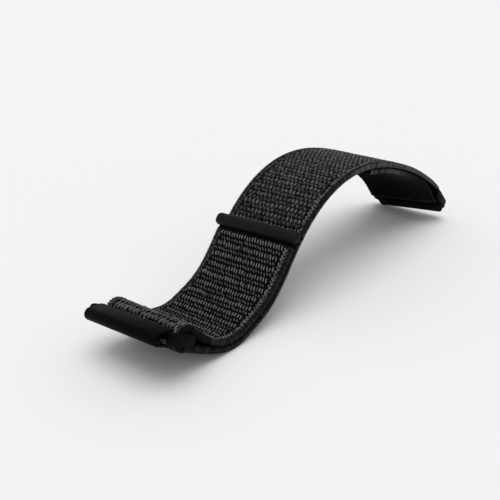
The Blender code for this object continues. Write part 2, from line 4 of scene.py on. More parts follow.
import bpy
import numpy as np
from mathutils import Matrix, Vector


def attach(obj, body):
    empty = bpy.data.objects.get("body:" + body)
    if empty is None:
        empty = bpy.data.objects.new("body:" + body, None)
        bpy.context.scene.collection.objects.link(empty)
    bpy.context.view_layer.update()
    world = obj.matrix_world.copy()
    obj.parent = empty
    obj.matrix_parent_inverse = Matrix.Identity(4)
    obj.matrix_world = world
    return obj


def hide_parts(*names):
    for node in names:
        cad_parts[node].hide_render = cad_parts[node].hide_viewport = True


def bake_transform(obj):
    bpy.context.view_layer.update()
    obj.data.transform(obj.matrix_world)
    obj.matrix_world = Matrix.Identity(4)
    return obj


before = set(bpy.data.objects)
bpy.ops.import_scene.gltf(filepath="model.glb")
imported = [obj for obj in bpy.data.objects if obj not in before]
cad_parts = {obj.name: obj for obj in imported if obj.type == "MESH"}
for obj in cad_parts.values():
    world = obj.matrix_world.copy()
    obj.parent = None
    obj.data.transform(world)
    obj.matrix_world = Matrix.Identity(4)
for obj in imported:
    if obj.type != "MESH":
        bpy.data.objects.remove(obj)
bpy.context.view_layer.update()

MM = 0.001
chance = np.random.default_rng(7)

# Sizes of the webbing and of the line that it lies on, as in the frame
WEB_WIDTH = 21.9 * MM
WEB_THICKNESS = 1.4 * MM
BAR_SPAN = 109.6 * MM
CREST_HEIGHT = 29.0 * MM
LEFT_LEAVES = radians(-24.0)
RIGHT_ARRIVES = radians(-36.5)

# Where the main layer runs: shares of BAR_SPAN along and of the crest's rise
ROUTE_SHARES = (
    (0.045, 0.090), (0.090, 0.026), (0.140, 0.001), (0.185, 0.051), (0.240, 0.153),
    (0.290, 0.337), (0.340, 0.580), (0.400, 0.792), (0.480, 0.946), (0.580, 1.000),
    (0.680, 0.951), (0.790, 0.817), (0.900, 0.604),
)

# How the two ends are rolled and the folds close, how the layers lie, and where the bars are
LEFT_ROLL = radians(-4.0)
RIGHT_ROLL = radians(-6.5)
ROLL_HOLD = 3.0 * MM
LEFT_ROLL_ENDS_SHARE = 0.12
RIGHT_ROLL_ENDS_SHARE = 0.75
FOLD_RADIUS = 2.1 * MM
FOLD_OPENING = radians(22.0)
FOLD_CLOSES_AFTER = 12.0 * MM
TAIL_LENGTH = 47.0 * MM
TAIL_GAP = 0.2 * MM
FLAP_GAP = 0.35 * MM
TAB_REACH = 45.4 * MM
LEFT_BAR = np.array((-53.714, 8.050)) * MM
RIGHT_BAR = np.array((55.886, 8.111)) * MM

# Sizes of the tab as it looks, and how it lies on the flap
TAB_LENGTH = 3.1 * MM
TAB_WIDTH = 24.2 * MM
TAB_THICKNESS = 2.5 * MM
TAB_ROUND = 1.23 * MM
TAB_LIFT = 0.3 * MM
TAB_TURN = radians(2.2)
TAB_ASIDE = 0.4 * MM
TAB_FURTHER = 0.12 * MM

# Sizes of the webbing as it looks: its core, and where it is fuller or stands off its line
CORE_WIDTH = WEB_WIDTH - 0.2 * MM
CORE_THICKNESS = 1.36 * MM
FACE = CORE_THICKNESS / 2
FOLD_PUFF = 0.85 * MM
NEAR_PUFF_SHARE = 0.30
BAND_PUFF = (0.0, 5.5 * MM)
FLAP_PUFF = (0.0, 10.0 * MM)
NARROW = 6.0 * MM
FULLER_SHARE = 0.028

# How far the rows of the weave lie askew, as a slope, and over which stretches that changes
FLAP_LEAN = 0.035
BAND_LEAN = 0.026
FLAP_LEAN_GROWS = (6.0 * MM, 8.0 * MM)
FLAP_LEAN_EASES = (20.0 * MM, 15.0 * MM)
BAND_LEAN_GROWS = (8.0 * MM, 8.0 * MM)
BAND_LEAN_ENDS = (56.0 * MM, 8.0 * MM)

# How finely the lines and strips are drawn, and how their ends and edges are rounded
LINE_STEP = 0.1 * MM
HEADING_REACH = 0.35 * MM
LAYER_STEP = 0.3 * MM
STATION_STEP = 0.5 * MM
SPAN_POINTS = 24
CURVE_POINTS = 60
EDGE_POINTS = 9
FACE_POINTS = 20
EDGE_ROUND_SHARE = 0.8
LIP_SHARES = (0.04, 0.15, 0.35, 0.65, 1.0)
PRESSED_SHARE = 0.75
PRESSED_OVER = 0.5 * MM
ENDS_DIVE = 0.35

# A place further along than any line reaches
BEYOND_ALL = 1.0


# The lines that the webbing lies on, in the side view

def unit(angle):
    return np.array((cos(angle), sin(angle)))


def left_of(direction):
    return np.stack((-direction[..., 1], direction[..., 0]), axis=-1)


def lengths_along(points):
    return np.concatenate(((0.0,), np.cumsum(np.hypot(*np.diff(points, axis=0).T))))


def smooth_step(t):
    t = np.clip(t, 0.0, 1.0)
    return t * t * (3 - 2 * t)


def eased(place, stretch):
    """From 0 to 1 over a stretch, which is its start and its length."""
    start, length = stretch
    return smooth_step((place - start) / length)


def hermite(start, end, start_slope, end_slope, t):
    t = np.asarray(t)[:, None]
    return ((2 * t**3 - 3 * t**2 + 1) * start + (t**3 - 2 * t**2 + t) * start_slope
            + (3 * t**2 - 2 * t**3) * end + (t**3 - t**2) * end_slope)


def smooth_curve(knots, start_direction, end_direction):
    at = lengths_along(knots)
    gap = np.diff(at)
    slope = np.diff(knots, axis=0) / gap[:, None]
    count = len(knots)
    matrix = np.eye(count)
    right = np.zeros((count, 2))
    right[0] = start_direction
    right[-1] = end_direction
    for i in range(1, count - 1):
        matrix[i, i - 1:i + 2] = gap[i], 2 * (gap[i - 1] + gap[i]), gap[i - 1]
        right[i] = 3 * (gap[i] * slope[i - 1] + gap[i - 1] * slope[i])
    tangent = np.linalg.solve(matrix, right)
    t = np.linspace(0, 1, SPAN_POINTS, endpoint=False)
    pieces = [
        hermite(knots[i], knots[i + 1], tangent[i] * gap[i], tangent[i + 1] * gap[i], t)
        for i in range(count - 1)
    ]
    return np.concatenate(pieces + [knots[-1:]])


class Line:
    """A smooth line in the side view, read at a distance along it."""

    def __init__(self, points):
        rough = np.asarray(points)
        at = lengths_along(rough)
        self.at = np.linspace(0.0, at[-1], int(at[-1] / LINE_STEP))
        self.points = np.stack([np.interp(self.at, at, rough[:, k]) for k in (0, 1)], axis=-1)
        self.length = at[-1]

    def place(self, along):
        return np.stack([np.interp(along, self.at, self.points[:, k]) for k in (0, 1)], axis=-1)

    def heading(self, along):
        run = (self.place(np.minimum(along + HEADING_REACH, self.length))
               - self.place(np.maximum(along - HEADING_REACH, 0.0)))
        return run / np.hypot(run[..., 0], run[..., 1])[..., None]

    def beside(self, along, above):
        along = np.asarray(along, dtype=float)
        above = np.broadcast_to(above, along.shape)
        return self.place(along) + left_of(self.heading(along)) * above[..., None]


def arc(centre, start, end):
    angles = np.linspace(start, end, CURVE_POINTS)
    return centre + FOLD_RADIUS * np.stack((np.cos(angles), np.sin(angles)), axis=-1)


def blend_curve(start, start_direction, end, end_direction):
    chord = np.hypot(*(end - start))
    return hermite(start, end, start_direction * chord, end_direction * chord,
                   np.linspace(0, 1, CURVE_POINTS))


def main_line():
    """The main layer, from the left fold through the dip and over the crest to the right."""
    low = WEB_THICKNESS / 2
    rise = CREST_HEIGHT - WEB_THICKNESS
    knots = [LEFT_BAR + FOLD_RADIUS * unit(LEFT_LEAVES - pi / 2)]
    for along_share, rise_share in ROUTE_SHARES:
        knots.append(np.array((LEFT_BAR[0] + along_share * BAR_SPAN, low + rise_share * rise)))
    knots.append(RIGHT_BAR + FOLD_RADIUS * unit(RIGHT_ARRIVES + pi / 2))
    return Line(smooth_curve(np.array(knots), unit(LEFT_LEAVES), unit(RIGHT_ARRIVES)))


MAIN = main_line()


def band_line():
    """The left fold, the main layer, the right fold and the tail in one line."""
    left_fold = arc(LEFT_BAR, LEFT_LEAVES + pi / 2 - FOLD_OPENING, LEFT_LEAVES + 3 * pi / 2)
    right_fold = arc(RIGHT_BAR, RIGHT_ARRIVES + pi / 2, RIGHT_ARRIVES - pi / 2 - FOLD_OPENING)
    under = -(WEB_THICKNESS + TAIL_GAP)
    meets = MAIN.length - FOLD_CLOSES_AFTER
    closing = blend_curve(right_fold[-1], unit(RIGHT_ARRIVES - pi - FOLD_OPENING),
                          MAIN.beside(meets, under), -MAIN.heading(meets))
    tail = MAIN.beside(np.arange(meets, MAIN.length - TAIL_LENGTH, -LAYER_STEP), under)
    return Line(np.concatenate((left_fold, MAIN.points[1:], right_fold[1:], closing[1:],
                                tail[1:])))


def flap_line(reach):
    """The flap, from the left fold down on to the main layer and along it."""
    over = WEB_THICKNESS + FLAP_GAP
    fold_end = LEFT_BAR + FOLD_RADIUS * unit(LEFT_LEAVES + pi / 2 - FOLD_OPENING)
    closing = blend_curve(fold_end, unit(LEFT_LEAVES - FOLD_OPENING),
                          MAIN.beside(FOLD_CLOSES_AFTER, over), MAIN.heading(FOLD_CLOSES_AFTER))
    at = np.append(np.arange(FOLD_CLOSES_AFTER, reach, LAYER_STEP), reach)
    rest = MAIN.beside(at, over)
    return Line(np.concatenate((closing, rest[1:])))


BAND = band_line()
FLAP = flap_line(TAB_REACH + TAB_LENGTH)
TAB_AT = flap_line(TAB_REACH).length
LEFT_FOLD = FOLD_RADIUS * (pi + FOLD_OPENING)
MAIN_END = LEFT_FOLD + MAIN.length
TAIL_START = MAIN_END + LEFT_FOLD


def rolled(points):
    """Level points of the strap, moved by the roll of its two ends."""
    x, y, z = np.moveaxis(np.asarray(points), -1, 0)
    left_from = LEFT_BAR[0] + ROLL_HOLD
    left_to = LEFT_BAR[0] + LEFT_ROLL_ENDS_SHARE * BAR_SPAN
    right_from = LEFT_BAR[0] + RIGHT_ROLL_ENDS_SHARE * BAR_SPAN
    right_to = RIGHT_BAR[0] - ROLL_HOLD
    at_left = 1 - eased(x, (left_from, left_to - left_from))
    at_right = eased(x, (right_from, right_to - right_from))
    turn = LEFT_ROLL * at_left + RIGHT_ROLL * at_right
    middle = np.interp(x, MAIN.points[:, 0], MAIN.points[:, 1])
    axis = middle + (LEFT_BAR[1] - middle) * at_left + (RIGHT_BAR[1] - middle) * at_right
    up = z - axis
    return np.stack((x, y * np.cos(turn) - up * np.sin(turn),
                     axis + y * np.sin(turn) + up * np.cos(turn)), axis=-1)


def puffed(line, along, across, above):
    """The webbing stands off a little over the left fold, more on its far side."""
    stretch, side = (BAND_PUFF, -1.0) if line is BAND else (FLAP_PUFF, 1.0)
    to_far_side = across / WEB_WIDTH + 0.5
    lift = FOLD_PUFF * (1 - eased(along, stretch)) * (
        NEAR_PUFF_SHARE + (1 - NEAR_PUFF_SHARE) * to_far_side)
    return above + side * lift * np.clip(above * side / FACE, 0.0, 1.0)


def full_width(line, along, across):
    """The webbing is a little fuller across the run than between the connectors' arms."""
    first = LEFT_FOLD + NARROW if line is BAND else NARROW
    last = MAIN_END - NARROW if line is BAND else BEYOND_ALL
    return across * (1 + FULLER_SHARE * eased(along, (first, NARROW))
                     * (1 - eased(along, (last, NARROW))))


def skewed(line, along, across):
    """The rows of the weave lie a little askew, the far side nearer to the left end."""
    if line is FLAP:
        lean = eased(along, FLAP_LEAN_GROWS) * (
            FLAP_LEAN + (BAND_LEAN - FLAP_LEAN) * eased(along, FLAP_LEAN_EASES))
    else:
        run = along - LEFT_FOLD
        lean = BAND_LEAN * eased(run, BAND_LEAN_GROWS) * (1 - eased(run, BAND_LEAN_ENDS))
    return along - lean * across


def on_layer(line, along, across, above):
    """Places on a layer of the webbing: along it, across it and above its middle."""
    along = np.clip(along, 0.0, line.length)
    across = full_width(line, along, across)
    spot = line.beside(along, puffed(line, along, across, above))
    return rolled(np.stack((spot[..., 0], np.broadcast_to(across, spot[..., 0].shape),
                            spot[..., 1]), axis=-1))


# Materials

FLECK_DEPTH = 0.5
SMOOTHER_BY = 0.05
ROUGHER_BY = 0.07
DULL_SHARE = 0.8


def node(tree, kind, **values):
    made = tree.nodes.new("ShaderNode" + kind)
    for name, value in values.items():
        if hasattr(made, name):
            setattr(made, name, value)
        else:
            made.inputs[name.replace("_", " ")].default_value = value
    return made


def shader_material(name, roughness, **sockets):
    made = bpy.data.materials.new(name)
    made.use_nodes = True
    shader = made.node_tree.nodes["Principled BSDF"]
    shader.inputs["Roughness"].default_value = roughness
    for socket, value in sockets.items():
        shader.inputs[socket.replace("_", " ")].default_value = value
    return made, made.node_tree, shader


def ramp(tree, source, low, dark, high, light):
    """A colour that runs from dark to light as the source goes from low to high."""
    made = tree.nodes.new("ShaderNodeValToRGB")
    for element, place, colour in zip(made.color_ramp.elements, (low, high), (dark, light)):
        element.position = place
        element.color = (*colour, 1.0)
    tree.links.new(source, made.inputs["Fac"])
    return made.outputs["Color"]


def bump(tree, shader, height, strength, distance):
    made = node(tree, "Bump", Strength=strength, Distance=distance)
    tree.links.new(height, made.inputs["Height"])
    tree.links.new(made.outputs["Normal"], shader.inputs["Normal"])


def grey(value, tint=1.03):
    """A grey with a little more blue than red and green."""
    return (value, value, value * tint)


def yarn_material(name, dark, light, roughness, sheen, gloss):
    """Nylon yarn: a shade of its own for each stitch, and fibres along it."""
    made, tree, shader = shader_material(name, roughness, Sheen_Weight=sheen,
                                         Sheen_Roughness=0.5, Specular_IOR_Level=gloss)
    shade = node(tree, "Attribute", attribute_name="shade")
    place = node(tree, "TexCoord")
    fibres = node(tree, "TexNoise", Scale=5200.0, Detail=3.0, Roughness=0.6)
    tree.links.new(place.outputs["Object"], fibres.inputs["Vector"])
    flecks = node(tree, "Math", operation="MULTIPLY_ADD")
    flecks.inputs[1].default_value = FLECK_DEPTH
    tree.links.new(fibres.outputs["Fac"], flecks.inputs[0])
    tree.links.new(shade.outputs["Fac"], flecks.inputs[2])
    tree.links.new(ramp(tree, flecks.outputs["Value"], low=0.35, dark=dark, high=1.0, light=light),
                   shader.inputs["Base Color"])
    bump(tree, shader, fibres.outputs["Fac"], strength=0.35, distance=0.04 * MM)
    return made


def core_material(name, dark, light):
    """The ground of the weave between the stitches: fine ribs across and ends along."""
    made, tree, shader = shader_material(name, roughness=0.9, Specular_IOR_Level=0.03)
    place = node(tree, "UVMap", uv_map="weave")
    ribs = node(tree, "TexWave", wave_type="BANDS", bands_direction="X", Scale=0.72,
                Distortion=1.2, Detail=2.0, Detail_Scale=2.0)
    ends = node(tree, "TexWave", wave_type="BANDS", bands_direction="Y", Scale=0.84,
                Distortion=0.8, Detail=2.0, Detail_Scale=3.0)
    for wave in (ribs, ends):
        tree.links.new(place.outputs["UV"], wave.inputs["Vector"])
    both = node(tree, "Math", operation="MULTIPLY")
    tree.links.new(ribs.outputs["Fac"], both.inputs[0])
    tree.links.new(ends.outputs["Fac"], both.inputs[1])
    tree.links.new(ramp(tree, both.outputs["Value"], low=0.05, dark=dark, high=0.8, light=light),
                   shader.inputs["Base Color"])
    bump(tree, shader, both.outputs["Value"], strength=0.8, distance=0.12 * MM)
    return made


def plastic_material(name, dark, light, roughness, gloss):
    """Satin moulded plastic: a fine grain, slight mottling and a roughness that varies."""
    made, tree, shader = shader_material(name, roughness, Specular_IOR_Level=gloss)
    place = node(tree, "TexCoord")
    mottle = node(tree, "TexNoise", Scale=420.0, Detail=4.0, Roughness=0.55)
    grain = node(tree, "TexNoise", Scale=6500.0, Detail=2.0, Roughness=0.5)
    for noise in (mottle, grain):
        tree.links.new(place.outputs["Object"], noise.inputs["Vector"])
    tree.links.new(ramp(tree, mottle.outputs["Fac"], low=0.35, dark=dark, high=0.65, light=light),
                   shader.inputs["Base Color"])
    rough = node(tree, "MapRange", From_Min=0.3, From_Max=0.7,
                 To_Min=roughness - SMOOTHER_BY, To_Max=roughness + ROUGHER_BY)
    tree.links.new(mottle.outputs["Fac"], rough.inputs["Value"])
    tree.links.new(rough.outputs["Result"], shader.inputs["Roughness"])
    bump(tree, shader, grain.outputs["Fac"], strength=0.25, distance=0.015 * MM)
    return made


def steel_material(name, colour, roughness):
    """Turned steel, with fine rings round each pin's axis."""
    made, tree, shader = shader_material(name, roughness, Metallic=1.0)
    place = node(tree, "TexCoord")
    rings = node(tree, "TexWave", wave_type="BANDS", bands_direction="Y", Scale=900.0,
                 Distortion=0.5, Detail=2.0)
    tree.links.new(place.outputs["Object"], rings.inputs["Vector"])
    dull = tuple(part * DULL_SHARE for part in colour)
    tree.links.new(ramp(tree, rings.outputs["Fac"], low=0.0, dark=dull, high=1.0, light=colour),
                   shader.inputs["Base Color"])
    bump(tree, shader, rings.outputs["Fac"], strength=0.2, distance=0.01 * MM)
    return made


YARN = yarn_material("loop_yarn", dark=grey(0.004, 1.04), light=grey(0.135),
                     roughness=0.7, sheen=0.03, gloss=0.1)
GROUND_YARN = yarn_material("ground_yarn", dark=grey(0.004, 1.04), light=grey(0.09),
                            roughness=0.75, sheen=0.03, gloss=0.08)
INNER_YARN = yarn_material("inner_yarn", dark=grey(0.001, 1.04), light=grey(0.036),
                           roughness=0.8, sheen=0.01, gloss=0.03)
CORE = core_material("woven_core", dark=grey(0.0012, 1.05), light=grey(0.010, 1.05))
TAB_PLASTIC = plastic_material("tab_moulding", dark=grey(0.0040), light=grey(0.0055),
                               roughness=0.5, gloss=0.12)
CONNECTOR_PLASTIC = plastic_material("connector_moulding", dark=grey(0.0008), light=grey(0.0015),
                                     roughness=0.5, gloss=0.035)
TAPE_NYLON = plastic_material("hook_tape_nylon", dark=grey(0.002), light=grey(0.004),
                              roughness=0.7, gloss=0.05)
HOOK_NYLON = plastic_material("hook_nylon", dark=grey(0.020), light=grey(0.035),
                              roughness=0.45, gloss=0.3)
PIN_STEEL = steel_material("turned_steel", grey(0.04, 1.02), roughness=0.5)
SPRING_STEEL = steel_material("drawn_wire", grey(0.10, 1.02), roughness=0.45)


# Strips of webbing and tape

def deselect():
    bpy.ops.object.select_all(action="DESELECT")


def add_mesh(name, verts, faces, finish):
    mesh = bpy.data.meshes.new(name)
    mesh.from_pydata(np.asarray(verts).tolist(), [], faces)
    mesh.materials.append(finish)
    mesh.shade_smooth()
    made = bpy.data.objects.new(name, mesh)
    bpy.context.scene.collection.objects.link(made)
    return made


def web_profile(width, thickness):
    """The section of a strip across its run: flat faces and two full, rounded edges."""
    half, high = width / 2, thickness / 2
    turn = np.linspace(-pi / 2, pi / 2, EDGE_POINTS)
    round_across = high * EDGE_ROUND_SHARE
    edge = np.stack((half - round_across + round_across * np.cos(turn), high * np.sin(turn)),
                    axis=-1)
    face = np.linspace(half - round_across, round_across - half, FACE_POINTS + 2)[1:-1]
    top = np.stack((face, np.full(FACE_POINTS, high)), axis=-1)
    one_side = np.concatenate((edge, top))
    return np.concatenate((one_side, -one_side))


def strip(name, line, start, end, width, thickness, finish, shift=0.0, joined=False,
          pressed_from=BEYOND_ALL):
    """A strip of webbing or tape carried along a line, with its cut ends rounded over.

    A strip joined to the one before it keeps its full thickness at its start. Beyond
    pressed_from its upper face is pressed down.
    """
    stations = np.linspace(start, end, int(abs(end - start) / STATION_STEP) + 1)
    lip = thickness / 2
    from_end = np.array(LIP_SHARES) * lip
    stations = np.unique(np.concatenate((stations, start + from_end, end - from_end)))
    near_end = end - stations if joined else np.minimum(stations - start, end - stations)
    fullness = np.sqrt(1 - (1 - np.clip(near_end / lip, LIP_SHARES[0], 1.0)) ** 2)
    section = web_profile(width, thickness)
    count = len(section)
    along = np.repeat(stations, count)
    across = np.tile(section[:, 0], len(stations))
    above = np.tile(section[:, 1], len(stations)) * np.repeat(fullness, count)
    pressed = PRESSED_SHARE * eased(along, (pressed_from, PRESSED_OVER))
    above = np.where(above > 0, above * (1 - pressed), above) + shift
    verts = on_layer(line, along, across, above)
    faces = []
    for row in range(len(stations) - 1):
        for spot in range(count):
            here = row * count + spot
            beyond = row * count + (spot + 1) % count
            faces.append((here, here + count, beyond + count, beyond))
    faces.append(tuple(range(count)))
    faces.append(tuple(range(len(verts) - 1, len(verts) - 1 - count, -1)))
    made = add_mesh(name, verts, faces, finish)
    weave = made.data.uv_layers.new(name="weave")
    corner = np.zeros(len(made.data.loops), dtype=np.int32)
    made.data.loops.foreach_get("vertex_index", corner)
    round_section = lengths_along(section)
    values = np.stack((along[corner], round_section[corner % count]), axis=-1) / MM
    weave.data.foreach_set("uv", values.ravel())
    return made


# Small shapes that repeat, each modelled once

HOOK_STEM_RADIUS = 0.085 * MM
HOOK_STEM_LENGTH = 0.16 * MM
HOOK_HEAD_STEPS = ((0.015 * MM, 2.1), (0.035 * MM, 1.0), (0.03 * MM, 0.55))
HOOK_SIDES = 8
FACING_DOWN = -0.9
GROOVE_SPREAD = 0.3


def read_shape(made):
    """The verts and faces of a small model, which is then taken away.

    Blender lists a primitive's faces in another order in each run, so they are sorted.
    """
    verts = np.array([vert.co for vert in made.data.vertices])
    rings = sorted(tuple(face.vertices) for face in made.data.polygons)
    faces = [np.array(ring) for ring in rings]
    bpy.data.objects.remove(made)
    return verts, faces


def one_stitch(segments, rings, groove):
    """A stitch of length, width and height 2, with a groove along it between its plies."""
    deselect()
    bpy.ops.mesh.primitive_uv_sphere_add(segments=segments, ring_count=rings, radius=1.0,
                                         rotation=(0, pi / 2, 0))
    bpy.ops.object.transform_apply(location=False, rotation=True, scale=False)
    verts, faces = read_shape(bpy.context.object)
    verts[:, 2] *= 1 - groove * np.exp(-(verts[:, 1] / GROOVE_SPREAD) ** 2)
    return verts, faces


def one_hook():
    """A mushroom hook that hangs down: a stem and a wider domed head, in real size."""
    deselect()
    bpy.ops.mesh.primitive_cylinder_add(vertices=HOOK_SIDES, radius=HOOK_STEM_RADIUS,
                                        depth=HOOK_STEM_LENGTH,
                                        location=(0, 0, -HOOK_STEM_LENGTH / 2))
    made = bpy.context.object
    bpy.ops.object.transform_apply(location=True, rotation=False, scale=False)
    bpy.ops.object.mode_set(mode="EDIT")
    bpy.ops.mesh.select_all(action="DESELECT")
    bpy.ops.object.mode_set(mode="OBJECT")
    for face in made.data.polygons:
        face.select = face.normal.z < FACING_DOWN
    bpy.ops.object.mode_set(mode="EDIT")
    bpy.ops.mesh.select_mode(type="FACE")
    for down, wider in HOOK_HEAD_STEPS:
        bpy.ops.mesh.extrude_region_move(TRANSFORM_OT_translate={"value": (0, 0, -down)})
        bpy.ops.transform.resize(value=(wider, wider, 1.0))
    bpy.ops.object.mode_set(mode="OBJECT")
    return read_shape(made)


LOOP_STITCH = one_stitch(segments=8, rings=5, groove=0.35)
FINE_STITCH = one_stitch(segments=6, rings=4, groove=0.0)
PLAIN_STITCH = one_stitch(segments=5, rings=3, groove=0.0)
HOOK = one_hook()

# A shape is scaled by half of a spot's length, width and height
REAL_SIZE = 2.0

# The columns of a list of spots that are changed by name
ALONG, ACROSS, LENGTH, WIDTH, HEIGHT, SHADE = 0, 1, 3, 4, 5, 7


def spread(name, line, spots, shape, finish, dive=ENDS_DIVE):
    """Many copies of a small shape on a layer, its ends diving into the ground.

    Each spot is along, across, above, length, width, height, slant and shade.
    """
    verts, faces = shape
    spots = np.asarray(spots)
    along, across, above, length, width, height, slant, shade = spots.T
    x = verts[None, :, 0] * length[:, None] / 2
    y = verts[None, :, 1] * width[:, None] / 2
    z = (verts[None, :, 2] / 2 - dive * verts[None, :, 0] ** 2) * height[:, None]
    side = np.where(above >= 0, 1.0, -1.0)[:, None]
    s = along[:, None] + x * np.cos(slant)[:, None] - y * np.sin(slant)[:, None]
    t = across[:, None] + x * np.sin(slant)[:, None] + y * np.cos(slant)[:, None]
    s = skewed(line, s, across[:, None])
    placed = on_layer(line, s.ravel(), t.ravel(), (above[:, None] + z * side).ravel())
    count = len(verts)
    made_faces = []
    for index in range(len(spots)):
        turned_over = above[index] < 0
        for face in faces:
            ring = face + index * count
            made_faces.append(tuple((ring[::-1] if turned_over else ring).tolist()))
    made = add_mesh(name, placed, made_faces, finish)
    shades = made.data.attributes.new("shade", "FLOAT", "POINT")
    shades.data.foreach_set("value", np.repeat(shade, count).astype(np.float32))
    return made


# Kinds of stitches, each with its share of the shade of the face that it is on

Stitch = namedtuple("Stitch", "length width height slant shade")

LOOP_LEG = Stitch(1.50 * MM, 0.37 * MM, 0.66 * MM, radians(13), 1.0)
OPEN_LOOP_LEG = Stitch(1.60 * MM, 0.45 * MM, 0.66 * MM, radians(-4), 0.87)
LOOP_CROSS = Stitch(1.20 * MM, 0.27 * MM, 0.52 * MM, radians(-17), 0.7)
OPEN_LOOP_CROSS = Stitch(1.20 * MM, 0.27 * MM, 0.44 * MM, radians(-17), 0.4)
GROUND_LEG = Stitch(1.14 * MM, 0.38 * MM, 0.56 * MM, radians(22), 1.0)
OPEN_GROUND_LEG = Stitch(1.36 * MM, 0.46 * MM, 0.56 * MM, radians(-4), 1.0)
GROUND_CROSS = Stitch(1.00 * MM, 0.28 * MM, 0.50 * MM, radians(-14), 0.85)
OPEN_GROUND_CROSS = Stitch(1.00 * MM, 0.28 * MM, 0.42 * MM, radians(-14), 0.55)
DASH = Stitch(1.50 * MM, 0.35 * MM, 0.62 * MM, radians(10), 1.0)
DASH_GROUND = Stitch(1.00 * MM, 0.40 * MM, 0.46 * MM, radians(32), 0.95)
CHAIN_LINK = Stitch(1.04 * MM, 0.44 * MM, 0.50 * MM, radians(26), 1.0)
SELVEDGE_RIB = Stitch(0.38 * MM, 0.98 * MM, 0.22 * MM, 0.0, 1.0)
SIDE_RIB = Stitch(0.42 * MM, 0.62 * MM, 1.44 * MM, 0.0, 1.0)
HOOKED_PILE = Stitch(1.20 * MM, 0.44 * MM, 0.26 * MM, radians(14), 0.6)
TAIL_PILE = Stitch(1.20 * MM, 0.44 * MM, 0.24 * MM, radians(-14), 0.55)
WRIST_PILE = Stitch(1.20 * MM, 0.44 * MM, 0.22 * MM, radians(14), 0.55)
UNDER_FLAP_PILE = Stitch(1.20 * MM, 0.44 * MM, 0.22 * MM, radians(14), 0.6)
SEAM_STITCH = Stitch(0.34 * MM, 1.12 * MM, 0.36 * MM, 0.0, 0.3)


def between(first, second, share):
    """A stitch part of the way from one kind to another."""
    return Stitch(*(a + (b - a) * share for a, b in zip(first, second)))


def varied(shade, by):
    return float(np.clip(shade * (1 + by), 0, 1))


# How far a stitch in a row may be off, for each unit of chance
ROW_LOOSE = 0.10 * MM
PLACE_LOOSE = 0.04 * MM
LENGTH_VARIES = 0.10
WIDTH_VARIES = 0.07
HEIGHT_VARIES = 0.12
SLANT_VARIES = 0.09
SHADE_VARIES = 0.25
ROW_OVERRUN = 0.5 * MM


def row_of(stitch, along, pitch, reach, shift, above, shade=1.0):
    """A row of slanted stitches across the webbing, each a little off in place and shape."""
    spots = []
    for across in np.arange(-reach + shift % pitch - pitch / 2, reach + ROW_OVERRUN, pitch):
        a, b, c, d, e = chance.normal(size=5)
        spots.append((
            along + ROW_LOOSE * c, across + PLACE_LOOSE * d, above,
            stitch.length * (1 + LENGTH_VARIES * a), stitch.width * (1 + WIDTH_VARIES * c),
            stitch.height * (1 + HEIGHT_VARIES * b), stitch.slant + SLANT_VARIES * a,
            varied(shade * stitch.shade, SHADE_VARIES * e),
        ))
    return spots


CHAIN_PITCH = 0.95 * MM
CHAIN_STEP = 0.22 * CHAIN_PITCH
CHAIN_HALF_WIDTH = 0.23 * MM
CHAIN_LOOSE = 0.08 * MM
CHAIN_SLANT_VARIES = 0.15
CHAIN_SHADE_VARIES = 0.4


def chain(start, end, middle, above, shade):
    """The column of paired stitches that locks each edge of the webbing."""
    spots = []
    for along in np.arange(start, end, CHAIN_PITCH):
        for side in (-1, 1):
            a, b, c = chance.normal(size=3)
            spots.append((
                along + CHAIN_STEP * side + CHAIN_LOOSE * a, middle + side * CHAIN_HALF_WIDTH,
                above, CHAIN_LINK.length, CHAIN_LINK.width,
                CHAIN_LINK.height * (1 + HEIGHT_VARIES * b),
                side * CHAIN_LINK.slant + CHAIN_SLANT_VARIES * a,
                varied(shade, CHAIN_SHADE_VARIES * c),
            ))
    return spots


RIB_PITCH = 0.46 * MM
RIB_LOOSE = 0.03 * MM
RIB_ASIDE_LOOSE = 0.02 * MM


def ribs_at_edges(rib, along, out, above, shade, slant_varies, shade_varies):
    """One rib at each of the two edges, a little off in place and shape."""
    spots = []
    for side in (-1, 1):
        a, b, c = chance.normal(size=3)
        spots.append((
            along + RIB_LOOSE * a, side * (out + RIB_ASIDE_LOOSE * b), above, rib.length,
            rib.width, rib.height, slant_varies * a, varied(shade, shade_varies * c),
        ))
    return spots


SELVEDGE_OUT = 10.3 * MM
SELVEDGE_SLANT_VARIES = 0.08


def selvedge(start, end, above, shade):
    """Short ribs across the outermost part of both edges."""
    spots = []
    for along in np.arange(start, end, RIB_PITCH):
        spots += ribs_at_edges(SELVEDGE_RIB, along, SELVEDGE_OUT, above, shade,
                               SELVEDGE_SLANT_VARIES, SHADE_VARIES)
    return spots


SIDE_OUT = 10.74 * MM
SIDE_SLANT_VARIES = 0.1
# Painted shade darkens the sides, more at the left fold and where the tail leaves the right fold;
# painted light makes them paler over the crest and along the tail
SIDE_PAINTED_SHADE = 0.2
SIDE_SHADE_VARIES = 0.3
SIDE_PAINTED_LIGHT_BY = 0.42
SIDE_PAINTED_LIGHT_OVER = (LEFT_FOLD + 62 * MM, 15 * MM)
FOLD_SIDE_PAINTED_SHADE = 0.4
TAIL_SIDE_PAINTED_LIGHT = (TAIL_START + 12 * MM, 22 * MM)
TAIL_SIDE_PAINTED_LIGHT_SHARE = 0.95
TAIL_SIDE_PAINTED_SHADE = 0.3


